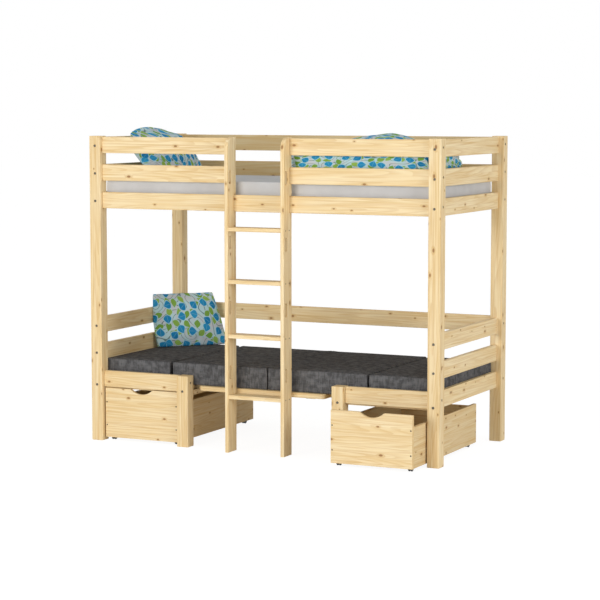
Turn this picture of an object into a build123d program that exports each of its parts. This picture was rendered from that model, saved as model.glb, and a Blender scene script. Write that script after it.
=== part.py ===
from build123d import *
from math import cos, radians, sin
import os

os.makedirs("parts", exist_ok=True)

# Bunk bed in solid pine. The lower bunk is two benches with a lowered table board between them.
# X runs along the bed, -Y is the ladder side, +Z is up. All sizes are in millimetres.

# Driving sizes of the frame
mattress_length = 1996
mattress_width = 900
mattress_thickness = 110
mattress_end_gap = 2
mattress_side_gap = 10
post_size = 70
post_height = 1740
rail_thickness = 27
rail_height = 92
rail_setback = 23
end_rail_setback = 28
end_bolt_inset = 36.5
edge_round = 3.5
upper_rail_drop = 5
upper_rail_pitch = 156
lower_rail_pitch = 154
back_rail_rise = 8
rails_per_end = 3

# Benches, their cross rails and the lowered board
bench_length = 487
bench_seat_height = 345
bench_rail_rise = 57
cross_rail_height = 50
cross_rail_drop = 5
ledge_width = 23
board_thickness = 27
board_front_length = 778
board_corner = 24
board_edge_round = 6
board_neck_depth = 78
board_side_gap = 3
board_gap_to_ladder = 3.5
board_shift = -12
batten_width = 60
batten_height = 20
batten_spacing = 500
batten_inset = 40

# Slats
slat_thickness = 18
slat_width = 70
slat_end_gap = 1.5
upper_slat_count = 14
bench_slat_count = 5
cleat_height = 27
upper_slat_drop = 36

# Ladder
ladder_clear_width = 320
ladder_offset = 0
stile_thickness = 21
stile_reach = 49
stile_nose_radius = 62
stile_edge_round = 2.5
rung_thickness = 21
rung_depth = 88
rung_setback = 4
rung_edge_round = 2.5
rung_top_shares = (0.1845, 0.3782, 0.5511, 0.7167)
slot_length = 76
slot_width = 26
slot_from_front = 30
slot_first_share = 0.2563
slot_pitch_share = 0.2059
slot_count = 4

# Drawers on castors
drawer_width = 470
drawer_depth = 940
drawer_floor_gap = 19
drawer_rail_gap = 6
drawer_side_drop = 64
drawer_side_lift = 1
drawer_back_drop = 12
front_thickness = 20
side_thickness = 18
bottom_thickness = 9
bottom_groove = 7
bottom_play = 1
drawer_pull_at_rest = 203
notch_width = 142
notch_depth = 28
notch_shoulder = 12
panel_edge_round = 2

# Castors
wheel_radius = 18
wheel_width = 6
wheel_gap = 1
wheel_round = 1.5
web_thickness = 6
castor_plate_width = 20
castor_plate_length = 42
castor_plate_thickness = 3
castor_front_inset = 30
castor_rear_inset = 46
castor_side_gap = 0.5
axle_radius = 2.5
axle_running_gap = 0.05
axle_end = 1
hub_radius = 6

# Bolts, cross nuts and screws
bolt_radius = 3
bolt_head_radius = 6.5
bolt_head_height = 4
bolt_recess = 6
bolt_recess_radius = 8
bolt_hole_play = 0.4
bolt_into_rail = 55
bolt_stagger = 5
bolt_socket_radius = 2.9
bolt_socket_depth = 2.4
low_bolt_height = 12
nut_radius = 5
nut_length = 17
nut_hole_depth = 20
nut_from_end = 40
nut_play = 0.2
screw_radius = 2.2
screw_head_radius = 4.2
screw_head_height = 2.5
screw_recess = 1
screw_length = 42
screw_play = 0.1
rung_screw_shares = (0.25, 0.74)
drawer_screw_shares = (0.318, 0.92)
back_screw_shares = (0.2, 0.8)

# Mattress, cushions, pillows and quilt
mattress_corner = 30
mattress_edge = 14
cushion_thickness = 120
cushion_crown = 5
cushion_side_bulge = 4
cushion_edge = 12
cushion_seam_gap = 1.5
cushion_open_seam = 9
cushion_post_gap = 2
seat_cushion_length = 418.5
centre_cushion_length = 604
soft_gap = 0.5

pillow_lower_width = 425
pillow_lower_height = 322
pillow_lower_thickness = 130
pillow_lower_turn = 48
pillow_lower_lean = 7
pillow_lower_from_left = 213.5
pillow_lower_from_back = 233
pillow_lower_lift = -0.8

pillow_upper_width = 600
pillow_upper_height = 380
pillow_upper_thickness = 140
pillow_upper_lean = 42
pillow_upper_from_rail = 146
pillow_upper_from_front = 505
pillow_upper_lift = 3.35

pillow_rim = 9
pillow_station_shares = (-1, -0.9, -0.62, 0, 0.62, 0.9, 1)
pillow_lower_height_shares = (0.8, 0.95, 0.97, 1, 0.97, 0.95, 0.8)
pillow_upper_height_shares = (0.56, 0.8, 0.94, 1, 0.94, 0.8, 0.56)
pillow_thickness_shares = (0.1, 0.48, 0.84, 1, 0.84, 0.48, 0.1)

quilt_length = 872
quilt_width = 500
quilt_height = 266
quilt_end_gap = 6
quilt_front_gap = 4
quilt_station_shares = (0, 0.06, 0.3, 0.6, 0.8, 0.96, 1)
quilt_height_shares = (0.62, 0.76, 0.84, 1, 0.85, 0.76, 0.62)
quilt_width_shares = (0.86, 0.94, 1, 0.98, 1, 0.93, 0.84)
quilt_shoulder_share = 0.66
quilt_shoulder_inset_share = 0.07
quilt_side_bulge_share = 0.03

overrun = 1

# Places worked out from the sizes above
clear_length = mattress_length + 2 * mattress_end_gap
bed_depth = mattress_width + 2 * (mattress_side_gap + rail_thickness + rail_setback)
bed_length = clear_length + 2 * post_size
left = -bed_length / 2
right = bed_length / 2
inner_left = left + post_size
inner_right = right - post_size
drawer_proud = drawer_pull_at_rest - rail_setback
front = (drawer_proud - bed_depth) / 2
back = front + bed_depth
middle_y = (front + back) / 2
front_rail = (front + rail_setback, front + rail_setback + rail_thickness)
rear_rail = (back - rail_setback - rail_thickness, back - rail_setback)
left_rail = (left + end_rail_setback, left + end_rail_setback + rail_thickness)
right_rail = (-left_rail[1], -left_rail[0])
front_post = (front, front + post_size)
rear_post = (back - post_size, back)
between_posts_y = (front_post[1], rear_post[0])
upper_tops = [post_height - upper_rail_drop - n * upper_rail_pitch for n in range(rails_per_end)]
bench_rail_top = bench_seat_height + bench_rail_rise
lower_tops = [bench_rail_top + n * lower_rail_pitch for n in reversed(range(rails_per_end))]
back_rail_top = lower_tops[0] + back_rail_rise
cross_rail_top = bench_seat_height - cross_rail_drop
upper_slat_top = upper_tops[-1] - upper_slat_drop
bench_rail_bottom = bench_rail_top - rail_height
short_post_left = (inner_left + bench_length, inner_left + bench_length + post_size)
short_post_right = (-short_post_left[1], -short_post_left[0])
cross_rail_inset = (post_size - rail_thickness) / 2
cross_rail_left = (short_post_left[0] + cross_rail_inset, short_post_left[1] - cross_rail_inset)
cross_rail_right = (-cross_rail_left[1], -cross_rail_left[0])
cross_rail_z = (cross_rail_top - cross_rail_height, cross_rail_top)
board_z = (bench_seat_height - board_thickness, bench_seat_height)
side_rail_z = (upper_tops[-1] - rail_height, upper_tops[-1])
stile_left = (
    ladder_offset - ladder_clear_width / 2 - stile_thickness,
    ladder_offset - ladder_clear_width / 2,
)
stile_right = (
    ladder_offset + ladder_clear_width / 2,
    ladder_offset + ladder_clear_width / 2 + stile_thickness,
)
stile_y = (front - stile_reach, front_rail[1])
rung_y = (stile_y[0] + rung_setback, stile_y[0] + rung_setback + rung_depth)
rung_tops = [share * post_height for share in rung_top_shares]
mattress_bottom = upper_slat_top
mattress_top = mattress_bottom + mattress_thickness
cushion_top = bench_seat_height + cushion_thickness + cushion_crown

bolts = []


def block(x, y, z):
    """Box between a low and a high limit on each axis."""
    with Locations((sum(x) / 2, sum(y) / 2, sum(z) / 2)):
        Box(x[1] - x[0], y[1] - y[0], z[1] - z[0])


def save(piece, name):
    """Label one finished node and write it."""
    piece.part.label = name
    export_step(piece.part, f"parts/{name}.step")


def bore(planes, radius, depth, start=0):
    """Cut round holes along each plane's normal."""
    with Locations(*[plane.offset(start).location for plane in planes]):
        Cylinder(radius, depth, align=(Align.CENTER, Align.CENTER, Align.MIN), mode=Mode.SUBTRACT)


def bolts_along_x(x, y, z, ends=(True, True)):
    """Bolts from the posts' outer faces into the ends of a rail along X."""
    made = []
    if ends[0]:
        made.append((Plane(origin=(x[0] - post_size, y, z), x_dir=(0, 1, 0), z_dir=(1, 0, 0)), post_size))
    if ends[1]:
        made.append((Plane(origin=(x[1] + post_size, y, z), x_dir=(0, 1, 0), z_dir=(-1, 0, 0)), post_size))
    bolts.extend(made)
    return made


def bolts_along_y(x, y, front_z, rear_z, rear=post_size):
    """Bolts into the two ends of a rail along Y, through a post in front and a post or rail behind."""
    made = [
        (Plane(origin=(x, y[0] - post_size, front_z), x_dir=(1, 0, 0), z_dir=(0, 1, 0)), post_size),
        (Plane(origin=(x, y[1] + rear, rear_z), x_dir=(1, 0, 0), z_dir=(0, -1, 0)), rear),
    ]
    bolts.extend(made)
    return made


def nut_location(plane, through, from_inner_face):
    """Where something on a cross nut's axis is centred, measured from the rail's inner face."""
    outward = plane.origin.X * plane.x_dir.X + (plane.origin.Y - middle_y) * plane.x_dir.Y
    inward = rail_thickness / 2 - from_inner_face
    side = -1 if outward > 0 else 1
    return plane.offset(through + nut_from_end).location * Pos(side * inward, 0, 0)


def drill_rail(made):
    """Bolt holes in the ends of rails, and blind cross nut holes from their inner faces."""
    for plane, through in made:
        bore([plane], bolt_radius + bolt_hole_play, through + bolt_into_rail + overrun)
        with Locations(nut_location(plane, through, (nut_hole_depth - overrun) / 2)):
            deep = nut_hole_depth + overrun
            Cylinder(nut_radius + nut_play, deep, rotation=(0, 90, 0), mode=Mode.SUBTRACT)


def drill_outer(x, y, z):
    """Recess and bolt hole for every bolt whose head lies on this post or rail."""
    for plane, through in bolts:
        on_x = x[0] - overrun < plane.origin.X < x[1] + overrun
        on_y = y[0] - overrun < plane.origin.Y < y[1] + overrun
        on_z = z[0] < plane.origin.Z < z[1]
        if on_x and on_y and on_z:
            bore([plane], bolt_recess_radius, bolt_recess)
            bore([plane], bolt_radius + bolt_hole_play, through + overrun)


def rails_along_x(name, x, y, tops, ends=(True, True)):
    """Node of rails along X, one above the other."""
    with BuildPart() as piece:
        for top in tops:
            block(x, y, (top - rail_height, top))
        fillet(piece.edges(), edge_round)
        for top in tops:
            drill_outer(x, y, (top - rail_height, top))
            drill_rail(bolts_along_x(x, sum(y) / 2, top - rail_height / 2 + bolt_stagger, ends))
    save(piece, name)


def rails_along_y(name, x, bolt_x, tops, low_bolt=False):
    """Node of end rails along Y, one above the other; the lowest one's bolt can sit low in it."""
    with BuildPart() as piece:
        for top in tops:
            block(x, between_posts_y, (top - rail_height, top))
        fillet(piece.edges(), edge_round)
        for top in tops:
            height = top - rail_height / 2 - bolt_stagger
            if low_bolt and top == tops[-1]:
                height = top - rail_height + low_bolt_height
            drill_rail(bolts_along_y(bolt_x, between_posts_y, height, height))
    save(piece, name)


# Long rails of the upper bunk: the lowest ones carry the slats, the others guard the sides
long_x = (inner_left, inner_right)
rails_along_x("side_rail_front", long_x, front_rail, upper_tops[-1:])
rails_along_x("side_rail_rear", long_x, rear_rail, upper_tops[-1:])
rails_along_x("guard_rails_rear", long_x, rear_rail, upper_tops[:-1])
guard_left_x = (inner_left, stile_left[0])
guard_right_x = (stile_right[1], inner_right)
rails_along_x("guard_rails_front_left", guard_left_x, front_rail, upper_tops[:-1], (True, False))
rails_along_x("guard_rails_front_right", guard_right_x, front_rail, upper_tops[:-1], (False, True))
rails_along_x("lower_back_rail", long_x, rear_rail, [back_rail_top])

# End rails, three above and three below at each end
left_bolt_x = left + end_bolt_inset
right_bolt_x = right - end_bolt_inset
rails_along_y("upper_end_rails_left", left_rail, left_bolt_x, upper_tops)
rails_along_y("upper_end_rails_right", right_rail, right_bolt_x, upper_tops)
rails_along_y("lower_end_rails_left", left_rail, left_bolt_x, lower_tops, low_bolt=True)
rails_along_y("lower_end_rails_right", right_rail, right_bolt_x, lower_tops, low_bolt=True)

# Bench rails between the long posts and the short posts
bench_left_x = (inner_left, short_post_left[0])
bench_right_x = (short_post_right[1], inner_right)
rails_along_x("seat_rail_front_left", bench_left_x, front_rail, [bench_rail_top])
rails_along_x("seat_rail_front_right", bench_right_x, front_rail, [bench_rail_top])
# Cross rails from the short posts to the rear bench rail, and the ledges that carry the board
cross_y = (front_post[1], rear_rail[0])
with BuildPart() as seat_cross_rails:
    for cross_x in (cross_rail_left, cross_rail_right):
        block(cross_x, cross_y, cross_rail_z)
    fillet(seat_cross_rails.edges(), edge_round)
    for cross_x in (cross_rail_left, cross_rail_right):
        rear_bolt_z = (bench_rail_bottom + cross_rail_top) / 2
        drill_rail(bolts_along_y(sum(cross_x) / 2, cross_y, sum(cross_rail_z) / 2, rear_bolt_z, rail_thickness))
save(seat_cross_rails, "seat_cross_rails")
rails_along_x("seat_rail_rear", long_x, rear_rail, [bench_rail_top])

ledge_left = (cross_rail_left[1], cross_rail_left[1] + ledge_width)
ledge_right = (-ledge_left[1], -ledge_left[0])
ledge_z = (cross_rail_z[0], board_z[0])
with BuildPart() as board_ledges:
    for ledge_x in (ledge_left, ledge_right):
        block(ledge_x, cross_y, ledge_z)
save(board_ledges, "board_ledges")


def post(name, x, y, height):
    """Node of one square post, drilled for its bolts."""
    with BuildPart() as piece:
        block(x, y, (0, height))
        fillet(piece.edges(), edge_round)
        drill_outer(x, y, (0, height))
    save(piece, name)


left_post_x = (left, inner_left)
right_post_x = (inner_right, right)
post("post_front_left", left_post_x, front_post, post_height)
post("post_front_right", right_post_x, front_post, post_height)
post("post_rear_left", left_post_x, rear_post, post_height)
post("post_rear_right", right_post_x, rear_post, post_height)
post("short_post_left", short_post_left, front_post, bench_rail_top)
post("short_post_right", short_post_right, front_post, bench_rail_top)

# Bolts with their socket heads, and the cross nuts that they pull on
with BuildPart() as frame_bolts:
    for plane, through in bolts:
        with Locations(plane.offset(bolt_recess - bolt_head_height).location):
            Cylinder(bolt_head_radius, bolt_head_height, align=(Align.CENTER, Align.CENTER, Align.MIN))
        with Locations(plane.offset(bolt_recess).location):
            shank = through - bolt_recess + bolt_into_rail
            Cylinder(bolt_radius, shank, align=(Align.CENTER, Align.CENTER, Align.MIN))
        with BuildSketch(plane.offset(bolt_recess - bolt_head_height)):
            RegularPolygon(bolt_socket_radius, 6)
        extrude(amount=bolt_socket_depth, mode=Mode.SUBTRACT)
save(frame_bolts, "frame_bolts")

with BuildPart() as frame_nuts:
    for plane, through in bolts:
        with Locations(nut_location(plane, through, nut_hole_depth - nut_length / 2)):
            Cylinder(nut_radius, nut_length, rotation=(0, 90, 0))
        bore([plane], bolt_radius + axle_running_gap, through + bolt_into_rail + overrun)
save(frame_nuts, "frame_nuts")

# Slats of the upper bunk and of the two benches, with the cleats that they lie on
inner_y = (front_rail[1], rear_rail[0])
slat_y = (inner_y[0] + slat_end_gap, inner_y[1] - slat_end_gap)
front_cleat = (inner_y[0], inner_y[0] + rail_thickness)
rear_cleat = (inner_y[1] - rail_thickness, inner_y[1])
bench_slat_z = (bench_seat_height - slat_thickness, bench_seat_height)
upper_slat_z = (upper_slat_top - slat_thickness, upper_slat_top)


def slats(name, x, z, count):
    """Node of evenly spaced cross slats that stop just short of two x limits."""
    first = x[0] + slat_end_gap
    step = (x[1] - slat_end_gap - slat_width - first) / (count - 1)
    with BuildPart() as piece:
        for n in range(count):
            start = first + n * step
            block((start, start + slat_width), slat_y, z)
        fillet(piece.edges().filter_by(Axis.Y), panel_edge_round)
    save(piece, name)


slats("upper_slats", long_x, upper_slat_z, upper_slat_count)
slats("seat_slats_left", bench_left_x, bench_slat_z, bench_slat_count)
slats("seat_slats_right", bench_right_x, bench_slat_z, bench_slat_count)

with BuildPart() as slat_cleats:
    for cleat_y in (front_cleat, rear_cleat):
        block(long_x, cleat_y, (upper_slat_z[0] - cleat_height, upper_slat_z[0]))
        for bench_x in (bench_left_x, bench_right_x):
            block(bench_x, cleat_y, (bench_slat_z[0] - cleat_height, bench_slat_z[0]))
save(slat_cleats, "slat_cleats")

# Table board, lowered on the ledges. Its front neck passes between the short posts.
board_front = stile_y[1] + board_gap_to_ladder
board_neck = (board_shift - board_front_length / 2, board_shift + board_front_length / 2)
board_body_x = (cross_rail_left[1] + board_side_gap, cross_rail_right[0] - board_side_gap)
board_body_y = (board_front + board_neck_depth, rear_post[0] - board_neck_depth)
with BuildPart() as table_board:
    with BuildSketch(Plane.XY.offset(board_z[0])):
        with BuildLine():
            Polyline(
                (board_neck[0], board_front),
                (board_neck[1], board_front),
                (board_neck[1], board_body_y[0]),
                (board_body_x[1], board_body_y[0]),
                (board_body_x[1], board_body_y[1]),
                (board_neck[1], board_body_y[1]),
                (board_neck[1], between_posts_y[1]),
                (board_neck[0], between_posts_y[1]),
                (board_neck[0], board_body_y[1]),
                (board_body_x[0], board_body_y[1]),
                (board_body_x[0], board_body_y[0]),
                (board_neck[0], board_body_y[0]),
                close=True,
            )
        make_face()
    extrude(amount=board_thickness)
    board_corners = table_board.edges().filter_by(Axis.Z)
    fillet(board_corners.group_by(Axis.Y)[0] + board_corners.group_by(Axis.Y)[-1], board_corner)
    fillet(table_board.faces().filter_by(Axis.Z).edges(), board_edge_round)
save(table_board, "table_board")

batten_z = (board_z[0] - batten_height, board_z[0])
batten_y = (board_body_y[0] + batten_inset, board_body_y[1] - batten_inset)
with BuildPart() as table_battens:
    for batten_x in (board_shift - batten_spacing / 2, board_shift + batten_spacing / 2):
        block((batten_x - batten_width / 2, batten_x + batten_width / 2), batten_y, batten_z)
    fillet(table_battens.edges().filter_by(Axis.Y), panel_edge_round)
save(table_battens, "table_battens")

# Ladder: two stiles with grip slots, notched over the front side rail, and four flat rungs
rung_screws = []
for rung_top in rung_tops:
    for share in rung_screw_shares:
        screw_y = rung_y[0] + share * rung_depth
        screw_z = rung_top - rung_thickness / 2
        rung_screws.append(Plane(origin=(stile_left[0], screw_y, screw_z), z_dir=(1, 0, 0)))
        rung_screws.append(Plane(origin=(stile_right[1], screw_y, screw_z), z_dir=(-1, 0, 0)))


def drill_screws(planes):
    """Sunk head seats and shank holes for screws."""
    bore(planes, screw_head_radius + screw_play, screw_recess + screw_head_height)
    bore(planes, screw_radius + screw_play, screw_length)


def screws(name, planes):
    """Node of screws, each with its head just under the surface."""
    with BuildPart() as piece:
        with Locations(*[plane.offset(screw_recess).location for plane in planes]):
            Cylinder(screw_head_radius, screw_head_height, align=(Align.CENTER, Align.CENTER, Align.MIN))
        with Locations(*[plane.offset(screw_recess + screw_head_height).location for plane in planes]):
            shank = screw_length - screw_recess - screw_head_height
            Cylinder(screw_radius, shank, align=(Align.CENTER, Align.CENTER, Align.MIN))
    save(piece, name)


def stile(name, x):
    """One ladder side board with a rounded nose, grip slots and the notch for the side rail."""
    slot_y = stile_y[0] + slot_from_front
    with BuildPart() as piece:
        with BuildSketch(Plane.YZ.offset(x[0])):
            with BuildLine():
                Polyline(
                    (stile_y[0], post_height - stile_nose_radius),
                    (stile_y[0], 0),
                    (stile_y[1], 0),
                    (stile_y[1], side_rail_z[0]),
                    (front_rail[0], side_rail_z[0]),
                    (front_rail[0], side_rail_z[1]),
                    (stile_y[1], side_rail_z[1]),
                    (stile_y[1], post_height),
                    (stile_y[0] + stile_nose_radius, post_height),
                )
                RadiusArc(
                    (stile_y[0] + stile_nose_radius, post_height),
                    (stile_y[0], post_height - stile_nose_radius),
                    -stile_nose_radius,
                )
            make_face()
            for n in range(slot_count):
                slot_z = post_height * (slot_first_share + n * slot_pitch_share)
                with Locations((slot_y, slot_z)):
                    SlotOverall(slot_length, slot_width, rotation=90, mode=Mode.SUBTRACT)
        extrude(amount=stile_thickness)
        fillet(piece.faces().filter_by(Axis.X).edges(), stile_edge_round)
        drill_screws([plane for plane in rung_screws if x[0] <= plane.origin.X <= x[1]])
    save(piece, name)


stile("ladder_stile_left", stile_left)
stile("ladder_stile_right", stile_right)

for n, rung_top in enumerate(rung_tops, start=1):
    with BuildPart() as ladder_rung:
        block((stile_left[1], stile_right[0]), rung_y, (rung_top - rung_thickness, rung_top))
        fillet(ladder_rung.edges().filter_by(Axis.X), rung_edge_round)
        drill_screws([plane for plane in rung_screws if abs(plane.origin.Z - rung_top) < rung_thickness])
    save(ladder_rung, f"ladder_rung_{n}")
screws("ladder_screws", rung_screws)

# Drawers: front with a finger notch, two sides, back, grooved-in bottom, and castors
drawer_top = bench_rail_bottom - drawer_rail_gap
side_z = (drawer_floor_gap + drawer_side_lift, drawer_top - drawer_side_drop)
axle_height = wheel_radius
plate_bottom = 2 * wheel_radius + 2 * wheel_gap
bottom_z = (
    plate_bottom + castor_plate_thickness,
    plate_bottom + castor_plate_thickness + bottom_thickness,
)
castor_half_width = web_thickness / 2 + wheel_gap + wheel_width


def drawer(name, centre, front_y):
    """All the nodes of one drawer whose front face stands at front_y."""
    x = (centre - drawer_width / 2, centre + drawer_width / 2)
    inside_x = (x[0] + side_thickness, x[1] - side_thickness)
    side_y = (front_y + front_thickness, front_y + drawer_depth)
    back_y = (side_y[1] - side_thickness, side_y[1])
    back_z = (bottom_z[0] - bottom_play, side_z[1] - drawer_back_drop)
    groove_x = (inside_x[0] - bottom_groove, inside_x[1] + bottom_groove)
    groove_y = (side_y[0] - bottom_groove, back_y[0])

    screw_planes = []
    for share in drawer_screw_shares:
        height = side_z[0] + share * (side_z[1] - side_z[0])
        for side_x in (x[0] + side_thickness / 2, x[1] - side_thickness / 2):
            screw_planes.append(Plane(origin=(side_x, front_y, height), x_dir=(1, 0, 0), z_dir=(0, 1, 0)))
    for share in back_screw_shares:
        height = back_z[0] + share * (back_z[1] - back_z[0])
        depth = sum(back_y) / 2
        screw_planes.append(Plane(origin=(x[0], depth, height), x_dir=(0, 1, 0), z_dir=(1, 0, 0)))
        screw_planes.append(Plane(origin=(x[1], depth, height), x_dir=(0, 1, 0), z_dir=(-1, 0, 0)))

    with BuildPart() as drawer_front:
        with BuildSketch(Plane.XZ.offset(-front_y)):
            with BuildLine():
                Polyline(
                    (centre - notch_width / 2, drawer_top),
                    (x[0], drawer_top),
                    (x[0], drawer_floor_gap),
                    (x[1], drawer_floor_gap),
                    (x[1], drawer_top),
                    (centre + notch_width / 2, drawer_top),
                )
                ThreePointArc(
                    (centre - notch_width / 2, drawer_top),
                    (centre, drawer_top - notch_depth),
                    (centre + notch_width / 2, drawer_top),
                )
            make_face()
        extrude(amount=-front_thickness)
        notch_ends = drawer_front.edges().filter_by(Axis.Y).group_by(Axis.Z)[-1].sort_by(Axis.X)[1:-1]
        fillet(notch_ends, notch_shoulder)
        fillet(drawer_front.faces().sort_by(Axis.Y)[0].edges(), panel_edge_round)
        with Locations((centre, (groove_y[0] + side_y[0]) / 2, sum(bottom_z) / 2)):
            Box(groove_x[1] - groove_x[0], bottom_groove, bottom_thickness, mode=Mode.SUBTRACT)
        drill_screws(screw_planes)
    save(drawer_front, f"{name}_front")

    with BuildPart() as drawer_sides:
        block((x[0], inside_x[0]), side_y, side_z)
        block((inside_x[1], x[1]), side_y, side_z)
        fillet(drawer_sides.edges().filter_by(Axis.Y).group_by(Axis.Z)[-1], panel_edge_round)
        with Locations((centre, (side_y[0] + back_y[0]) / 2, sum(bottom_z) / 2)):
            Box(groove_x[1] - groove_x[0], back_y[0] - side_y[0], bottom_thickness, mode=Mode.SUBTRACT)
        drill_screws(screw_planes)
    save(drawer_sides, f"{name}_sides")

    with BuildPart() as drawer_back:
        block(inside_x, back_y, back_z)
        fillet(drawer_back.edges().filter_by(Axis.X).group_by(Axis.Z)[-1], panel_edge_round)
        drill_screws(screw_planes)
    save(drawer_back, f"{name}_back")

    with BuildPart() as drawer_bottom:
        block(groove_x, groove_y, bottom_z)
    save(drawer_bottom, f"{name}_bottom")

    screws(f"{name}_screws", screw_planes)

    castor_inset_x = castor_side_gap + castor_plate_width / 2
    castor_x = (inside_x[0] + castor_inset_x, inside_x[1] - castor_inset_x)
    castor_y = {"front": side_y[0] + castor_front_inset, "rear": back_y[0] - castor_rear_inset}
    with BuildPart() as castors:
        for x_at in castor_x:
            for y_at in castor_y.values():
                plate_x = (x_at - castor_plate_width / 2, x_at + castor_plate_width / 2)
                plate_y = (y_at - castor_plate_length / 2, y_at + castor_plate_length / 2)
                block(plate_x, plate_y, (plate_bottom, bottom_z[0]))
                web_x = (x_at - web_thickness / 2, x_at + web_thickness / 2)
                web_y = (y_at - hub_radius, y_at + hub_radius)
                block(web_x, web_y, (axle_height, plate_bottom))
                with Locations((x_at, y_at, axle_height)):
                    Cylinder(hub_radius, web_thickness, rotation=(0, 90, 0))
                    Cylinder(axle_radius, 2 * (castor_half_width + axle_end), rotation=(0, 90, 0))
    save(castors, f"{name}_castors")

    wheel_offset = web_thickness / 2 + wheel_gap + wheel_width / 2
    for end, y_at in castor_y.items():
        with BuildPart() as wheels:
            for x_at in castor_x:
                for side_x in (x_at - wheel_offset, x_at + wheel_offset):
                    with Locations((side_x, y_at, axle_height)):
                        Cylinder(wheel_radius, wheel_width, rotation=(0, 90, 0))
            fillet(wheels.edges(), wheel_round)
            with Locations(*[(x_at, y_at, axle_height) for x_at in castor_x]):
                Cylinder(
                    axle_radius + axle_running_gap,
                    2 * (castor_half_width + overrun),
                    rotation=(0, 90, 0),
                    mode=Mode.SUBTRACT,
                )
        save(wheels, f"{name}_wheels_{end}")


drawer("drawer_left", sum(bench_left_x) / 2, front_rail[0])
drawer("drawer_right", sum(bench_right_x) / 2, front_rail[0] - drawer_pull_at_rest)

# Mattress of the upper bunk
mattress_y = ((front + back - mattress_width) / 2, (front + back + mattress_width) / 2)
with BuildPart() as mattress_upper:
    mattress_x = (inner_left + mattress_end_gap, inner_right - mattress_end_gap)
    block(mattress_x, mattress_y, (mattress_bottom, mattress_top))
    fillet(mattress_upper.edges().filter_by(Axis.Z), mattress_corner)
    fillet(mattress_upper.faces().filter_by(Axis.Z).edges(), mattress_edge)
save(mattress_upper, "mattress_upper")


def cushion(name, x, y):
    """Foam cushion with a crowned top, bulged sides and rounded edges."""
    origin = (sum(x) / 2, sum(y) / 2, bench_seat_height)
    length_plane = Plane(origin=origin, x_dir=(1, 0, 0), z_dir=(0, -1, 0))
    depth_plane = Plane(origin=origin, x_dir=(0, 1, 0), z_dir=(1, 0, 0))
    length = x[1] - x[0]
    depth = y[1] - y[0]
    middle = cushion_thickness / 2
    crest = cushion_thickness + cushion_crown
    with BuildPart() as piece:
        for plane, along, across, mode in (
            (length_plane, length, depth, Mode.ADD),
            (depth_plane, depth, length, Mode.INTERSECT),
        ):
            half = along / 2
            waist = half - cushion_side_bulge
            with BuildSketch(plane):
                with BuildLine():
                    Line((-waist, 0), (waist, 0))
                    ThreePointArc((waist, 0), (half, middle), (waist, cushion_thickness))
                    ThreePointArc((waist, cushion_thickness), (0, crest), (-waist, cushion_thickness))
                    ThreePointArc((-waist, cushion_thickness), (-half, middle), (-waist, 0))
                make_face()
            extrude(amount=across / 2, both=True, mode=mode)
        fillet(piece.edges(), cushion_edge)
    save(piece, name)


cushion_y = (between_posts_y[0] + cushion_post_gap, between_posts_y[1] - cushion_post_gap)
cushion_ends = (left_rail[1] + soft_gap, right_rail[0] - soft_gap)
seat_end = cushion_ends[0] + seat_cushion_length
first_end = seat_end + cushion_open_seam + centre_cushion_length
second_end = first_end + cushion_seam_gap + centre_cushion_length
cushion("cushion_seat_left", (cushion_ends[0], seat_end), cushion_y)
cushion("cushion_centre_left", (seat_end + cushion_open_seam, first_end), cushion_y)
cushion("cushion_centre_right", (first_end + cushion_seam_gap, second_end), cushion_y)
cushion("cushion_seat_right", (second_end + cushion_seam_gap, cushion_ends[1]), cushion_y)


def pillow(name, plane, width, height, thickness, height_shares):
    """Pillow lofted across its width; the plane's X runs up the pillow and its Y is the thickness."""
    with BuildPart() as piece:
        for station, tall, thick in zip(pillow_station_shares, height_shares, pillow_thickness_shares):
            half_height = tall * height / 2
            half_thickness = max(thick * thickness / 2, pillow_rim / 2)
            rim = pillow_rim / 2
            with BuildSketch(plane.offset(station * width / 2)):
                with BuildLine():
                    ThreePointArc((-half_height, rim), (0, half_thickness + rim), (half_height, rim))
                    Line((half_height, rim), (half_height, -rim))
                    ThreePointArc((half_height, -rim), (0, -half_thickness - rim), (-half_height, -rim))
                    Line((-half_height, -rim), (-half_height, rim))
                make_face()
        loft()
    save(piece, name)


turn = radians(pillow_lower_turn)
lean = radians(pillow_lower_lean)
lower_pillow_z = cushion_top + pillow_lower_lift + cos(lean) * pillow_lower_height / 2
pillow(
    "pillow_lower",
    Plane(
        origin=(left + pillow_lower_from_left, back - pillow_lower_from_back, lower_pillow_z),
        x_dir=(-sin(lean) * sin(turn), sin(lean) * cos(turn), cos(lean)),
        z_dir=(cos(turn), sin(turn), 0),
    ),
    pillow_lower_width,
    pillow_lower_height,
    pillow_lower_thickness,
    pillow_lower_height_shares,
)

lean = radians(pillow_upper_lean)
upper_pillow_z = mattress_top + pillow_upper_lift + cos(lean) * pillow_upper_height / 2
pillow(
    "pillow_upper",
    Plane(
        origin=(left_rail[1] + pillow_upper_from_rail, front + pillow_upper_from_front, upper_pillow_z),
        x_dir=(-sin(lean), 0, cos(lean)),
        z_dir=(0, 1, 0),
    ),
    pillow_upper_width,
    pillow_upper_height,
    pillow_upper_thickness,
    pillow_upper_height_shares,
)

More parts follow.
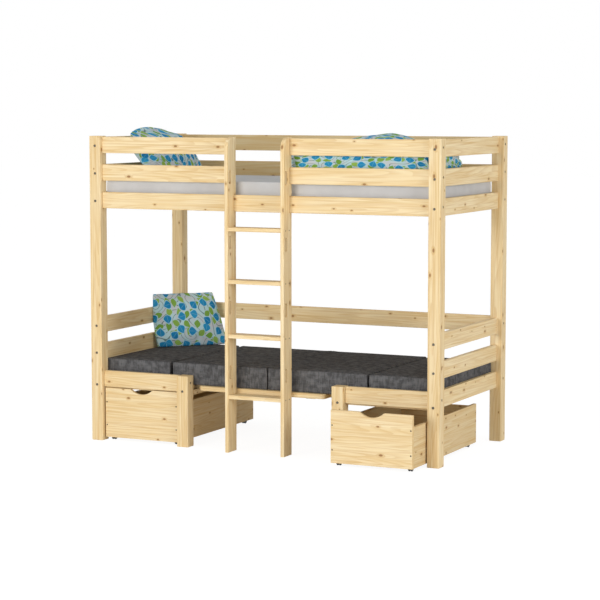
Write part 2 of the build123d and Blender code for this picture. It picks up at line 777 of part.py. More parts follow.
# Folded quilt heaped at the right end of the upper bunk
quilt_y = (mattress_y[0] + quilt_front_gap, mattress_y[0] + quilt_front_gap + quilt_width)
quilt_start = mattress_x[1] - quilt_end_gap - quilt_length
with BuildPart() as quilt_upper:
    for station, tall, wide in zip(quilt_station_shares, quilt_height_shares, quilt_width_shares):
        half = wide * quilt_width / 2
        height = tall * quilt_height
        shoulder = quilt_shoulder_share * height
        inset = quilt_shoulder_inset_share * quilt_width
        bulge = quilt_side_bulge_share * quilt_width
        section = Plane(
            origin=(quilt_start + station * quilt_length, sum(quilt_y) / 2, mattress_top + soft_gap),
            x_dir=(0, 1, 0),
            z_dir=(1, 0, 0),
        )
        with BuildSketch(section):
            with BuildLine():
                Line((-half + inset, 0), (half - inset, 0))
                ThreePointArc((half - inset, 0), (half, shoulder / 2), (half - bulge, shoulder))
                ThreePointArc((half - bulge, shoulder), (0, height), (-half + bulge, shoulder))
                ThreePointArc((-half + bulge, shoulder), (-half, shoulder / 2), (-half + inset, 0))
            make_face()
    loft()
save(quilt_upper, "quilt_upper")
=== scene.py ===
import math

import bpy
from mathutils import Matrix, Vector, noise


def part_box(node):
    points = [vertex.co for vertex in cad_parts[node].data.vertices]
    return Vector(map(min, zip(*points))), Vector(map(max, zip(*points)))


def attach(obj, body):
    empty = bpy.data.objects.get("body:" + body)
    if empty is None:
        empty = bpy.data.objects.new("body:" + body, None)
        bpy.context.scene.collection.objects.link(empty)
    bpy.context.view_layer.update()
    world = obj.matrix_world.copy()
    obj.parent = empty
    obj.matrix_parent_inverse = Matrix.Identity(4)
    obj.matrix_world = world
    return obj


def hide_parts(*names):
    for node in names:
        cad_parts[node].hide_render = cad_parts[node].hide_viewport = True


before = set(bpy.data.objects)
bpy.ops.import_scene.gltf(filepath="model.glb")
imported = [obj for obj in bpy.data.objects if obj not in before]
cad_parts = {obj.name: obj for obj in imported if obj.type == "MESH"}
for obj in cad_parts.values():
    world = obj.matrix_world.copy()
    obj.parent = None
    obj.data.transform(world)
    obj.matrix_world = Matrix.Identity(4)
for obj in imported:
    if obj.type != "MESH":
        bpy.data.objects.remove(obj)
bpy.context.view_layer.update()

# Camera, fitted to the straight edges of the bed
IMAGE_SIZE = 600
FOCAL_PIXELS = 1997.32
SENSOR = 36.0
CAMERA_PLACE = (4.9199, -10.1304, 1.924)
CAMERA_YAW = 25.659
CAMERA_PITCH = -5.628

camera_data = bpy.data.cameras.new("camera")
camera_data.sensor_width = SENSOR
camera_data.lens = FOCAL_PIXELS / IMAGE_SIZE * SENSOR
camera = bpy.data.objects.new("camera", camera_data)
camera.location = CAMERA_PLACE
camera.rotation_euler = (math.radians(90 + CAMERA_PITCH), 0, math.radians(CAMERA_YAW))
bpy.context.collection.objects.link(camera)
bpy.context.scene.camera = camera
bpy.context.scene.view_settings.view_transform = "Standard"

# Sockets of the colour half of a Mix node
MIX_SHARE = 0
MIX_FIRST = 6
MIX_SECOND = 7
MIX_RESULT = 2


class Shader:
    """A node material with short calls for adding and joining nodes."""

    def __init__(self, name):
        self.material = bpy.data.materials.new(name)
        self.material.use_nodes = True
        self.tree = self.material.node_tree
        self.surface = self.tree.nodes["Principled BSDF"]

    def add(self, kind, inputs=(), **settings):
        made = self.tree.nodes.new("ShaderNode" + kind)
        for key, value in settings.items():
            setattr(made, key, value)
        for key, value in dict(inputs).items():
            self.put(made.inputs[key], value)
        return made

    def put(self, socket, value):
        if isinstance(value, bpy.types.NodeSocket):
            self.tree.links.new(value, socket)
        else:
            socket.default_value = value

    def math(self, operation, *values):
        return self.add("Math", enumerate(values), operation=operation).outputs[0]

    def vector(self, operation, *values):
        return self.add("VectorMath", enumerate(values), operation=operation).outputs["Vector"]

    def scaled(self, place, factor):
        return self.add("VectorMath", {0: place, "Scale": factor}, operation="SCALE").outputs["Vector"]

    def mix(self, share, first, second):
        inputs = {MIX_SHARE: share, MIX_FIRST: first, MIX_SECOND: second}
        return self.add("Mix", inputs, data_type="RGBA").outputs[MIX_RESULT]

    def lay(self, base, tint, share, strength):
        """A base colour under a tint, where a share says so and as strong as given."""
        return self.mix(self.math("MULTIPLY", share, strength), base, tint)

    def smooth(self, value, low, high):
        """Zero below the low value and one above the high one, or the other way round if low is higher."""
        inputs = {"Value": value, "From Min": low, "From Max": high}
        return self.add("MapRange", inputs, interpolation_type="SMOOTHSTEP").outputs[0]

    def noise(self, place, scale, detail=2.0, roughness=0.5):
        inputs = {"Vector": place, "Scale": scale, "Detail": detail, "Roughness": roughness}
        return self.add("TexNoise", inputs).outputs["Fac"]

    def drawn_out(self, place, factors, scale, detail=2.0, roughness=0.5):
        """Noise that is drawn out along each axis whose factor is below one."""
        return self.noise(self.vector("MULTIPLY", place, factors), scale, detail, roughness)

    def bump(self, height, strength, distance):
        made = self.add("Bump", {"Height": height, "Strength": strength, "Distance": distance})
        self.put(self.surface.inputs["Normal"], made.outputs[0])

    def look(self, tint, roughness, metallic=0.0, specular=0.5):
        self.put(self.surface.inputs["Base Color"], tint)
        self.put(self.surface.inputs["Roughness"], roughness)
        self.surface.inputs["Metallic"].default_value = metallic
        self.surface.inputs["Specular IOR Level"].default_value = specular

    def in_view(self):
        """One for rays from the camera and those that a mirror or a glass sends on, else zero."""
        rays = self.add("LightPath").outputs
        direct = self.math("MAXIMUM", rays["Is Camera Ray"], rays["Is Glossy Ray"])
        return self.math("MAXIMUM", direct, rays["Is Transmission Ray"])


def colour(red, green, blue):
    return (red, green, blue, 1.0)


# Pine, glued up from strips, with knots as the cells of a flat pattern in the plane of each face
PINE_LIGHT = colour(0.90, 0.745, 0.475)
PINE_MID = colour(0.83, 0.635, 0.345)
PINE_LINE = colour(0.62, 0.375, 0.13)
PINE_KNOT = colour(0.26, 0.11, 0.035)
STRIP_WIDTH = 0.0345
STRIP_PHASE = 0.31
STRIP_SHIFT = 3.0
SECOND_ROW_WEIGHT = 17.0
KNOT_CELLS_ALONG = 5.6
KNOT_CELLS_ACROSS = 10.5
KNOT_LAYERS = 9.7
KNOT_LAYER_SHIFT = 3.17
KNOTLESS_SHARE = 0.4
KNOT_RADIUS = 0.026
KNOT_RADIUS_SPREAD = 0.04
KNOT_BEND = 0.05
RING_SCALE = 11.0
RING_COUNT = 20.0
END_RING_SCALE = 14.0
END_RING_COUNT = 40.0
END_FACING = 0.75
FIBRE_SCALE = 330.0
STREAK_SCALE = 105.0
PATCH_SCALE = 34.0


def toned(tint, tone):
    """A colour scaled by a tone, blue most and red least; a tone below one is painted shade, darker and
    warmer as pine in shadow looks.
    """
    return colour(tint[0] * tone, tint[1] * tone**1.15, tint[2] * tone**1.5)


def pine(name, axis, tone=1.0):
    """Lacquered, strip-glued pine along one axis, with grain lines, streaks, knots and end grain."""
    shader = Shader(name)
    place = shader.add("TexCoord").outputs["Object"]
    facing = shader.vector("ABSOLUTE", shader.add("NewGeometry").outputs["Normal"])
    facings = shader.add("SeparateXYZ", {"Vector": facing})
    first, second = [n for n in range(3) if n != axis]
    faces_first = shader.math("GREATER_THAN", facings.outputs[first], facings.outputs[second])
    faces_second = shader.math("SUBTRACT", 1.0, faces_first)

    parts = shader.add("SeparateXYZ", {"Vector": place}).outputs
    held = [shader.math("MULTIPLY", parts[n], faces_second) for n in (first, second)]
    across = shader.math("MULTIPLY_ADD", parts[second], faces_first, held[0])
    depth = shader.math("MULTIPLY_ADD", parts[first], faces_first, held[1])
    layer = shader.math("FLOOR", shader.math("MULTIPLY", depth, KNOT_LAYERS))
    along_cells = shader.math("MULTIPLY", parts[axis], KNOT_CELLS_ALONG)
    run = shader.math("MULTIPLY_ADD", layer, KNOT_LAYER_SHIFT, along_cells)
    across_cells = shader.math("MULTIPLY", across, KNOT_CELLS_ACROSS)
    knot_place = shader.add("CombineXYZ", {"X": run, "Y": across_cells}).outputs[0]
    inputs = {"Vector": knot_place, "Scale": 1.0, "Randomness": 0.95}
    knots = shader.add("TexVoronoi", inputs, voronoi_dimensions="2D")
    chosen = shader.add("SeparateColor", {"Color": knots.outputs["Color"]})
    present = shader.math("GREATER_THAN", chosen.outputs[0], KNOTLESS_SHARE)
    radius = shader.math("MULTIPLY_ADD", chosen.outputs[1], KNOT_RADIUS_SPREAD, KNOT_RADIUS)
    near = shader.math("DIVIDE", knots.outputs["Distance"], radius)
    halo = shader.math("MULTIPLY", shader.smooth(near, 3.2, 0.8), present)
    core = shader.math("MULTIPLY", shader.smooth(near, 1.3, 0.7), present)

    strips = shader.add("SeparateXYZ", {"Vector": shader.scaled(place, 1 / STRIP_WIDTH)})
    counted = [shader.math("ADD", strips.outputs[n], STRIP_PHASE) for n in (first, second)]
    rows = [shader.math("FLOOR", count) for count in counted]
    row = shader.math("MULTIPLY_ADD", rows[1], SECOND_ROW_WEIGHT, rows[0])
    shares = [shader.math("SUBTRACT", shader.math("FRACT", count), 0.5) for count in counted]
    edges = [shader.math("ABSOLUTE", share) for share in shares]
    second_edge = shader.math("MULTIPLY", edges[0], faces_second)
    edge = shader.math("MULTIPLY_ADD", edges[1], faces_first, second_edge)
    glue = shader.smooth(edge, 0.47, 0.495)
    strip = shader.add("TexWhiteNoise", {"W": row}, noise_dimensions="1D")
    moved = shader.vector("ADD", place, shader.scaled(strip.outputs["Color"], STRIP_SHIFT))

    def grain(share, scale, detail, roughness=0.5):
        """Noise along the grain, whose scale there is the given share of the scale across it."""
        factors = tuple(share if n == axis else 1.0 for n in range(3))
        return shader.drawn_out(moved, factors, scale, detail, roughness)

    field = shader.math("MULTIPLY_ADD", halo, KNOT_BEND, grain(0.05, RING_SCALE, detail=1.0))
    rings = shader.math("FRACT", shader.math("MULTIPLY", field, RING_COUNT))
    lines = shader.math("MULTIPLY", shader.smooth(rings, 0.3, 0.92), shader.smooth(rings, 1.0, 0.94))
    fibres = grain(0.02, FIBRE_SCALE, detail=2.0, roughness=0.6)
    streaks = grain(0.022, STREAK_SCALE, detail=3.0, roughness=0.6)
    patches = grain(0.07, PATCH_SCALE, detail=2.0)
    middle = toned(PINE_MID, tone)
    base = shader.mix(shader.smooth(patches, 0.34, 0.66), toned(PINE_LIGHT, tone), middle)
    base = shader.lay(base, middle, strip.outputs["Value"], strength=0.3)
    base = shader.lay(base, PINE_LINE, lines, strength=0.3)
    base = shader.lay(base, PINE_LINE, shader.smooth(streaks, 0.48, 0.72), strength=0.5)
    base = shader.lay(base, PINE_LINE, shader.smooth(fibres, 0.55, 0.8), strength=0.25)
    base = shader.lay(base, PINE_LINE, glue, strength=0.3)
    base = shader.lay(base, PINE_LINE, halo, strength=0.5)
    base = shader.lay(base, PINE_KNOT, core, strength=0.8)
    end_field = shader.noise(moved, END_RING_SCALE, detail=0.0)
    end_rings = shader.math("FRACT", shader.math("MULTIPLY", end_field, END_RING_COUNT))
    end_grain = shader.lay(PINE_MID, PINE_LINE, end_rings, strength=0.55)
    base = shader.mix(shader.math("GREATER_THAN", facings.outputs[axis], END_FACING), base, end_grain)
    shader.look(base, shader.math("MULTIPLY_ADD", streaks, 0.16, 0.46), specular=0.16)
    shader.bump(shader.math("MULTIPLY_ADD", lines, 0.5, streaks), strength=0.22, distance=0.0006)
    return shader.material


PLYWOOD_LIGHT = colour(0.72, 0.55, 0.34)
PLYWOOD_DARK = colour(0.58, 0.41, 0.23)


def plywood():
    """Plywood of the drawers' bottoms, with its grain along X."""
    shader = Shader("plywood")
    place = shader.add("TexCoord").outputs["Object"]
    grain = shader.drawn_out(place, (0.08, 1.0, 1.0), scale=60.0, detail=3.0, roughness=0.6)
    base = shader.mix(shader.smooth(grain, 0.3, 0.75), PLYWOOD_LIGHT, PLYWOOD_DARK)
    shader.look(base, roughness=0.6)
    shader.bump(grain, strength=0.2, distance=0.0004)
    return shader.material


def metal(name, tint, roughness):
    """Metal whose sheen varies in fine spots."""
    shader = Shader(name)
    place = shader.add("TexCoord").outputs["Object"]
    spots = shader.noise(place, scale=900.0)
    shader.look(tint, shader.math("MULTIPLY_ADD", spots, 0.2, roughness), metallic=1.0)
    shader.bump(spots, strength=0.1, distance=0.0001)
    return shader.material


def plastic(name, tint, roughness):
    """Moulded plastic with a fine texture."""
    shader = Shader(name)
    place = shader.add("TexCoord").outputs["Object"]
    spots = shader.noise(place, scale=1600.0, detail=1.0)
    shader.look(tint, roughness)
    shader.bump(spots, strength=0.08, distance=0.0001)
    return shader.material


CHARCOAL_DARK = colour(0.080, 0.079, 0.081)
CHARCOAL_LIGHT = colour(0.175, 0.174, 0.178)
CHARCOAL_THREAD = colour(0.045, 0.045, 0.047)


def charcoal():
    """Dark grey upholstery with a slubbed weave: short upright and level streaks over soft clouds."""
    shader = Shader("charcoal_fabric")
    place = shader.add("TexCoord").outputs["Object"]
    clouds = shader.noise(place, scale=30.0, detail=4.0, roughness=0.6)
    upright = shader.drawn_out(place, (1.0, 1.0, 0.16), scale=120.0, roughness=0.55)
    level = shader.drawn_out(place, (0.14, 0.14, 1.0), scale=170.0, roughness=0.55)
    threads = shader.drawn_out(place, (0.3, 1.0, 0.3), scale=700.0)
    mottle = shader.math("MULTIPLY_ADD", upright, 0.4, shader.math("MULTIPLY", clouds, 0.6))
    mottle = shader.math("MULTIPLY_ADD", level, 0.2, mottle)
    base = shader.mix(shader.smooth(mottle, 0.46, 0.76), CHARCOAL_DARK, CHARCOAL_LIGHT)
    base = shader.lay(base, CHARCOAL_THREAD, threads, strength=0.2)
    shader.look(base, roughness=0.95, specular=0.0)
    slubs = shader.math("ADD", upright, level)
    shader.bump(shader.math("ADD", threads, slubs), strength=0.3, distance=0.0009)
    return shader.material


TICKING_DARK = colour(0.575, 0.575, 0.58)
TICKING_LIGHT = colour(0.62, 0.62, 0.625)
TICKING_RIB = colour(0.45, 0.45, 0.46)


def ticking():
    """Pale grey mattress cover with a fine ribbed weave."""
    shader = Shader("mattress_fabric")
    place = shader.add("TexCoord").outputs["Object"]
    inputs = {"Vector": place, "Scale": 90.0, "Distortion": 0.6}
    ribs = shader.add("TexWave", inputs, bands_direction="DIAGONAL").outputs["Fac"]
    soft = shader.noise(place, scale=9.0)
    base = shader.mix(shader.smooth(soft, 0.3, 0.7), TICKING_DARK, TICKING_LIGHT)
    base = shader.lay(base, TICKING_RIB, ribs, strength=0.06)
    shader.look(base, roughness=0.9, specular=0.1)
    shader.bump(ribs, strength=0.3, distance=0.0006)
    return shader.material


def scattered(shader, place, scale, shift, randomness):
    """Place relative to the nearest of a set of scattered points, turned by chance, and its chance values."""
    moved = shader.vector("ADD", place, (shift, shift * 0.7, 0.0))
    inputs = {"Vector": moved, "Scale": scale, "Randomness": randomness}
    cell = shader.add("TexVoronoi", inputs, voronoi_dimensions="2D")
    offset = shader.vector("SUBTRACT", moved, cell.outputs["Position"])
    values = shader.add("SeparateColor", {"Color": cell.outputs["Color"]}).outputs
    angle = shader.math("MULTIPLY", values[0], 2 * math.pi)
    turned = shader.add("VectorRotate", {"Vector": offset, "Angle": angle}, rotation_type="Z_AXIS")
    parts = shader.add("SeparateXYZ", {"Vector": turned.outputs[0]})
    return parts.outputs[0], parts.outputs[1], values


def leaf_gap(shader, along, across, length, width):
    """Distance inside the outline of a leaf that is broad near its stalk and pointed at its tip."""
    run = shader.math("DIVIDE", along, length)
    fall = shader.math("SUBTRACT", 1.0, shader.math("MULTIPLY", run, run))
    edge = shader.math("MULTIPLY", fall, shader.math("MULTIPLY_ADD", run, -0.42, 0.95))
    aside = shader.math("MULTIPLY", shader.math("ABSOLUTE", across), -1.0)
    return shader.math("MULTIPLY_ADD", edge, width, aside)


LEAF_SPREAD = 0.62
LEAF_EDGE = (-0.0004, 0.0008)


def leaves(shader, base, place, scale, shift, length, width, rim, rim_tint, tints, vein):
    """Print a layer of leaves with a soft rim on a base colour.

    A vein has its tint, its strength, its edges across the leaf and its edges from the leaf's outline.
    """
    along, across, values = scattered(shader, place, scale, shift, LEAF_SPREAD)
    gap = leaf_gap(shader, along, across, length, width)
    base = shader.mix(shader.smooth(gap, *rim), base, rim_tint)
    body = shader.mix(values[1], *tints)
    base = shader.mix(shader.smooth(gap, *LEAF_EDGE), base, body)
    vein_tint, strength, edges, zone = vein
    line = shader.math("MULTIPLY", shader.smooth(shader.math("ABSOLUTE", across), *edges), strength)
    return shader.lay(base, vein_tint, line, shader.smooth(gap, *zone))


GROUND_GREY = colour(0.55, 0.585, 0.62)
GROUND_BLUE = colour(0.47, 0.66, 0.70)
HALO = colour(0.40, 0.66, 0.74)
STEM = colour(0.09, 0.17, 0.16)
GREEN_DARK = colour(0.155, 0.33, 0.05)
GREEN_LIGHT = colour(0.30, 0.47, 0.10)
BLUE_DARK = colour(0.012, 0.20, 0.44)
BLUE_LIGHT = colour(0.03, 0.30, 0.56)
LEAF_BEND = 0.022
STEM_COUNT = 8.0


def print_cotton(name):
    """Pale cotton printed with scattered blue and green leaves and thin stems, a generic pattern."""
    shader = Shader(name)
    place = shader.add("TexCoord").outputs["UV"]
    wobble = shader.add("TexNoise", {"Vector": place, "Scale": 14.0, "Detail": 1.0}).outputs["Color"]
    bent = shader.vector("ADD", place, shader.scaled(wobble, LEAF_BEND))
    stems = shader.math("MULTIPLY", shader.noise(place, scale=9.0, detail=0.0), STEM_COUNT)
    stem = shader.smooth(shader.math("PINGPONG", stems, 0.5), 0.085, 0.05)
    clouds = shader.smooth(shader.noise(place, scale=13.0, detail=1.0), 0.42, 0.58)
    base = shader.lay(shader.mix(clouds, GROUND_GREY, GROUND_BLUE), STEM, stem, strength=0.85)
    base = leaves(
        shader,
        base,
        bent,
        scale=16.0,
        shift=3.1,
        length=0.028,
        width=0.0175,
        rim=(-0.0042, -0.0028),
        rim_tint=GROUND_BLUE,
        tints=(GREEN_DARK, GREEN_LIGHT),
        vein=(GREEN_DARK, 0.5, (0.0014, 0.0005), (0.0002, 0.001)),
    )
    base = leaves(
        shader,
        base,
        place,
        scale=12.5,
        shift=11.7,
        length=0.026,
        width=0.0245,
        rim=(-0.0062, -0.0042),
        rim_tint=HALO,
        tints=(BLUE_DARK, BLUE_LIGHT),
        vein=(HALO, 0.35, (0.0015, 0.0005), (0.001, 0.002)),
    )
    weave = shader.noise(place, scale=1500.0, detail=1.0)
    shader.look(base, roughness=0.88, specular=0.1)
    shader.bump(weave, strength=0.2, distance=0.0004)
    return shader.material


PINE_X = pine("pine_along_x", 0)
PINE_Y = pine("pine_along_y", 1)
PINE_Z = pine("pine_along_z", 2)
# Painted shade: a darker copy of the pine for the rear guard rails, which the front rails and the upper bunk
# shade
PINE_BACK_PAINTED_SHADE = pine("pine_back_painted_shade", 0, 0.84)
# Painted shade: a darker copy of the pine for the drawers' sides, which stand in shade
PINE_DRAWER_PAINTED_SHADE = pine("pine_drawer_side_painted_shade", 1, 0.9)
PINE_STEP = pine("pine_step", 0, 1.06)
PINE_STILE = pine("pine_stile", 2, 1.04)
ZINC = metal("zinc_steel", colour(0.17, 0.15, 0.12), 0.5)
SCREW = metal("screw_steel", colour(0.07, 0.065, 0.06), 0.5)
CASTOR = plastic("castor_grey", colour(0.16, 0.165, 0.17), 0.42)
WHEEL = plastic("wheel_black", colour(0.02, 0.02, 0.021), 0.55)
PLYWOOD = plywood()
CHARCOAL = charcoal()
TICKING = ticking()
PRINT = print_cotton("printed_cotton")


def dress(item, material):
    """Give an object one material in all its slots."""
    item.data.materials.clear()
    item.data.materials.append(material)


def timber(node):
    """The pine whose grain follows the node's boards."""
    if "stile" in node:
        return PINE_STILE
    if "post" in node:
        return PINE_Z
    if "rung" in node:
        return PINE_STEP
    # The rear guard rails get the darker pine, painted shade
    if node == "guard_rails_rear":
        return PINE_BACK_PAINTED_SHADE
    # The drawers' sides get the darker pine, painted shade
    if "drawer" in node and "sides" in node:
        return PINE_DRAWER_PAINTED_SHADE
    if any(word in node for word in ("end_rails", "cross", "ledge", "slats", "batten")):
        return PINE_Y
    return PINE_X


for node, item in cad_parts.items():
    if "screws" in node:
        dress(item, SCREW)
    elif node in ("frame_bolts", "frame_nuts"):
        dress(item, ZINC)
    elif "castors" in node:
        dress(item, CASTOR)
    elif "wheels" in node:
        dress(item, WHEEL)
    elif node.endswith("_bottom"):
        dress(item, PLYWOOD)
    else:
        dress(item, timber(node))


def mesh_object(name, points, faces, material, smooth=True):
    """New mesh object in the row frame."""
    data = bpy.data.meshes.new(name)
    data.from_pydata(points, [], faces)
    data.update()
    for polygon in data.polygons:
        polygon.use_smooth = smooth
    item = bpy.data.objects.new(name, data)
    bpy.context.collection.objects.link(item)
    item.data.materials.append(material)
    return item


RIM_SHARES = (0, 0.12, 0.29, 0.5, 0.75, 1.0, 1.25, 1.5)


def spaced(length, radius, step):
    """Places from 0 to length, dense within one and a half radii of both ends."""
    rim = [radius * share for share in RIM_SHARES]
    inner = length - 2 * rim[-1]
    count = max(2, round(inner / step))
    middle = [rim[-1] + inner * n / count for n in range(1, count)]
    return rim + middle + [length - place for place in reversed(rim)]


def rounded_box(name, low, high, radius, step, material):
    """Box with rounded edges on a lattice, and the lattice's scaled places from -1 to 1."""
    size = [high[n] - low[n] for n in range(3)]
    ticks = [spaced(size[n], radius, step) for n in range(3)]
    index = {}
    points = []
    shares = []
    faces = []

    def vertex(key):
        if key not in index:
            raw = Vector([places[n] for places, n in zip(ticks, key)])
            core = Vector([min(max(raw[n], radius), size[n] - radius) for n in range(3)])
            arm = raw - core
            if arm.length > 0:
                arm = arm.normalized() * radius
            index[key] = len(points)
            points.append(core + arm + Vector(low))
            shares.append([2 * raw[n] / size[n] - 1 for n in range(3)])
        return index[key]

    def quad(*keys):
        faces.append([vertex(key) for key in keys])

    right, far, top = [len(places) - 1 for places in ticks]
    for i in range(right):
        for j in range(far):
            quad((i, j, 0), (i, j + 1, 0), (i + 1, j + 1, 0), (i + 1, j, 0))
            quad((i, j, top), (i + 1, j, top), (i + 1, j + 1, top), (i, j + 1, top))
    for i in range(right):
        for k in range(top):
            quad((i, 0, k), (i + 1, 0, k), (i + 1, 0, k + 1), (i, 0, k + 1))
            quad((i, far, k), (i, far, k + 1), (i + 1, far, k + 1), (i + 1, far, k))
    for j in range(far):
        for k in range(top):
            quad((0, j, k), (0, j, k + 1), (0, j + 1, k + 1), (0, j + 1, k))
            quad((right, j, k), (right, j + 1, k), (right, j + 1, k + 1), (right, j, k + 1))
    return mesh_object(name, points, faces, material), shares


def swell(item, frames, pressure, cap, held=0.0):
    """Blow up a closed cover with a cloth simulation, each point moving no further than the cap.

    The held share is taken off the movement along X and Y, so that a flat cut keeps its outline.
    """
    before = [vertex.co.copy() for vertex in item.data.vertices]
    cloth = item.modifiers.new("cloth", "CLOTH")
    cloth.settings.quality = 6
    cloth.settings.mass = 0.25
    cloth.settings.tension_stiffness = 12
    cloth.settings.compression_stiffness = 12
    cloth.settings.shear_stiffness = 6
    cloth.settings.bending_stiffness = 0.15
    cloth.settings.use_pressure = True
    cloth.settings.uniform_pressure_force = pressure
    cloth.settings.effector_weights.gravity = 0
    cloth.collision_settings.use_self_collision = False
    cloth.point_cache.frame_start = 1
    cloth.point_cache.frame_end = frames
    for step in range(1, frames + 1):
        bpy.context.scene.frame_set(step)
    shape = item.evaluated_get(bpy.context.evaluated_depsgraph_get())
    after = [vertex.co.copy() for vertex in shape.data.vertices]
    item.modifiers.remove(cloth)
    bpy.context.scene.frame_set(1)
    for vertex, old, new in zip(item.data.vertices, before, after):
        move = new - old
        move.xy *= 1 - held
        if move.length > cap:
            move *= cap / move.length
        vertex.co = old + move


def scaled_noise(place, factors):
    """Smooth noise from -1 to 1 at a place that is scaled by one factor per axis."""
    return noise.noise(Vector([place[n] * factors[n] for n in range(3)]))


def clamp(place, low, high):
    """Keep a place within a box."""
    for n in range(3):
        place[n] = min(max(place[n], low[n]), high[n])


# Foam cushions and mattress: play beside them, cover, seam, pressed ends and ends that bulge
SIDE_PLAY = 0.0008
FOAM_EDGE = 0.009
FOAM_STEP = 0.022
SHRUNK_WRINKLES = 1.5
BROAD_RIPPLES = (7, 7, 12)
FINE_RIPPLES = (22, 18, 30)
SIDE_SHARE = 0.97
SEAM_WIDTH = 0.0035
SEAM_DEPTH = 0.0012
PRESSED_ZONE = 0.03
PRESSED_SQUEEZE = 0.75
PRESSED_TOP = 0.8
POST_SHARE = 0.978
POST_SLOPE = 60
POST_BULGE = 0.4


def foam_cushion(name, node, body, material, crown, wrinkle, seam_drop, end_bulge=0.0, pressed=0):
    """Foam block in a sewn cover: swelled faces, a seam under the top edge and small ripples.

    An end that is pressed against its neighbour, 1 for the right one and -1 for the left, is squarer. An
    end bulge pushes both ends out, less where the posts stand beside them.
    """
    low, high = [Vector(corner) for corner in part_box(node)]
    play = Vector((SIDE_PLAY, SIDE_PLAY, 0.0))
    low += play
    high -= play
    item, shares = rounded_box(name, low, high, FOAM_EDGE, FOAM_STEP, material)
    middle = (low + high) / 2
    for vertex, (a, b, c) in zip(item.data.vertices, shares):
        if c > 0:
            vertex.co.z -= crown * (1 - (1 - a * a) * (1 - b * b)) * c
        vertex.co += (middle - vertex.co).normalized() * wrinkle * SHRUNK_WRINKLES
    swell(item, frames=20, pressure=4, cap=0.004)
    for vertex, (a, b, c) in zip(item.data.vertices, shares):
        place = vertex.co
        groove = math.exp(-(((high.z - place.z - seam_drop) / SEAM_WIDTH) ** 2)) * SEAM_DEPTH
        ripple = scaled_noise(place, BROAD_RIPPLES) + 0.5 * scaled_noise(place, FINE_RIPPLES)
        if abs(a) > SIDE_SHARE:
            place.x -= math.copysign(groove, a)
        if abs(b) > SIDE_SHARE:
            place.y -= math.copysign(groove, b)
        place += (middle - place).normalized() * wrinkle * (0.75 + 0.5 * ripple)
        clamp(place, low, high)
        if pressed:
            gap = pressed * ((high if pressed > 0 else low).x - place.x)
            if gap < PRESSED_ZONE:
                squeeze = PRESSED_SQUEEZE * (1 - gap / PRESSED_ZONE)
                place.x += pressed * gap * squeeze
                if c > PRESSED_TOP:
                    place.z += (high.z - place.z) * squeeze
        if end_bulge and abs(a) > SIDE_SHARE:
            free = min(1.0, POST_SLOPE * max(0.0, POST_SHARE - abs(b)))
            place.x += math.copysign(end_bulge * max(POST_BULGE, free) * (1 - c**4), a)
            if free == 0:
                place.x = min(max(place.x, low.x), high.x)
    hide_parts(node)
    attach(item, body)


for node, body, side in (
    ("cushion_seat_left", "bed_frame", -1),
    ("cushion_centre_left", "centre_cushions", 1),
    ("cushion_centre_right", "centre_cushions", -1),
    ("cushion_seat_right", "bed_frame", 1),
):
    foam_cushion(
        node + "_cover",
        node,
        body,
        CHARCOAL,
        crown=0.004,
        wrinkle=0.0009,
        seam_drop=0.014,
        pressed=side,
    )
foam_cushion(
    "mattress_cover",
    "mattress_upper",
    "bed_frame",
    TICKING,
    crown=0.002,
    wrinkle=0.0008,
    seam_drop=0.02,
    end_bulge=0.012,
)


def scale_to(item, sizes):
    """Centre a mesh and scale it to the given length along each axis."""
    for n, size in enumerate(sizes):
        low = min(vertex.co[n] for vertex in item.data.vertices)
        high = max(vertex.co[n] for vertex in item.data.vertices)
        for vertex in item.data.vertices:
            vertex.co[n] = (vertex.co[n] - (low + high) / 2) * size / (high - low)


LAYER_LIFT = 0.012
LAYER_RIPPLE = 0.004
CUT_RIPPLES = 9


def inflated(name, sizes, columns, rows, seed, corners, bow, sway, taper, material):
    """Pillow of two sewn layers of cloth blown up by pressure: X across, Y up and Z through it.

    The cut is drawn in at its corners, by one share across and one up, and bows out between them; sway
    and taper lean and narrow its top.
    """
    width, height = sizes[:2]
    points = []
    faces = []
    marks = []
    index = {}
    for side in (1, -1):
        for i in range(columns + 1):
            for j in range(rows + 1):
                rim = i in (0, columns) or j in (0, rows)
                if rim and side == -1:
                    index[side, i, j] = index[1, i, j]
                    continue
                u = i / columns - 0.5
                v = j / rows - 0.5
                wide = 1 - corners[0] * abs(2 * v) ** 3 + bow * (1 - 4 * v * v)
                tall = 1 - corners[1] * abs(2 * u) ** 2 + bow * (1 - 4 * u * u)
                x = width * (u * wide * (1 - taper * v) - sway * v)
                y = height * v * tall
                ripple = noise.noise(Vector((u * CUT_RIPPLES + seed, v * CUT_RIPPLES, side * 3.0)))
                lift = 0.0 if rim else side * LAYER_LIFT + LAYER_RIPPLE * ripple
                index[side, i, j] = len(points)
                points.append((x, y, lift))
                marks.append((u * width + seed, v * height + seed))
        for i in range(columns):
            for j in range(rows):
                ring = ((i, j), (i + 1, j), (i + 1, j + 1), (i, j + 1))
                face = [index[side, m, n] for m, n in ring]
                faces.append(face if side == 1 else face[::-1])
    item = mesh_object(name, points, faces, material)
    layer = item.data.uv_layers.new(name="cut")
    for loop in item.data.loops:
        layer.data[loop.index].uv = marks[loop.vertex_index]
    swell(item, frames=30, pressure=5, cap=1.0, held=0.8)
    scale_to(item, sizes)
    return item


def eased(run):
    """A share from 0 to 1 that starts and ends gently."""
    run = min(max(run, 0.0), 1.0)
    return run * run * (3 - 2 * run)


